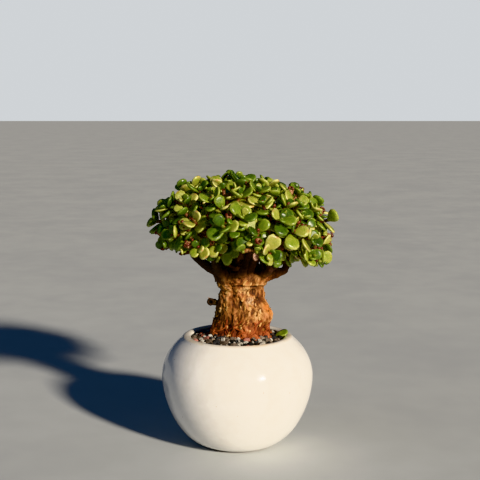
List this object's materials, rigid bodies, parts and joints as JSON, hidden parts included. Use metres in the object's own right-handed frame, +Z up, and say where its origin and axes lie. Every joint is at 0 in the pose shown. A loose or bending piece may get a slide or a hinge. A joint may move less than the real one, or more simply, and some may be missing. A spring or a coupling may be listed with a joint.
{
  "type": "jade bonsai",
  "caption": "Small jade bonsai with a thick trunk and a low dome of round fleshy leaves, standing in gritty soil in a round glazed ceramic pot.",
  "frame": {"origin": "centre of the pot's flat foot, on the surface that it stands on", "axes": "+Z up the pot's axis, +X to the right and -Y towards the viewer, as the plant's front is seen"},
  "size_m": [0.112, 0.1108, 0.1626],
  "materials": {
    "glaze": "glossy off-white glaze, very slightly uneven, with an unglazed foot",
    "grit": "dry mixed grit of black and brown lava and pale pumice",
    "bark": "peeling orange-brown bark, matte, darker on the limbs",
    "leaf": "smooth waxy yellow-green leaf on reddish-brown young stems"
  },
  "bodies": {
    "root": {"pot": "glaze", "soil": "grit", "trunk": "bark", "shed_leaf": "leaf", "spray_01": "leaf", "spray_02": "leaf", "spray_03": "leaf", "spray_04": "leaf", "spray_05": "leaf", "spray_06": "leaf", "spray_07": "leaf", "spray_08": "leaf", "spray_09": "leaf", "spray_10": "leaf", "spray_11": "leaf", "spray_12": "leaf", "spray_13": "leaf", "spray_14": "leaf", "spray_15": "leaf", "spray_16": "leaf", "spray_17": "leaf", "spray_18": "leaf", "spray_19": "leaf", "spray_20": "leaf", "spray_21": "leaf", "spray_22": "leaf", "spray_23": "leaf", "spray_24": "leaf", "spray_25": "leaf", "spray_26": "leaf", "spray_27": "leaf", "spray_28": "leaf"}
  },
  "joints": []
}
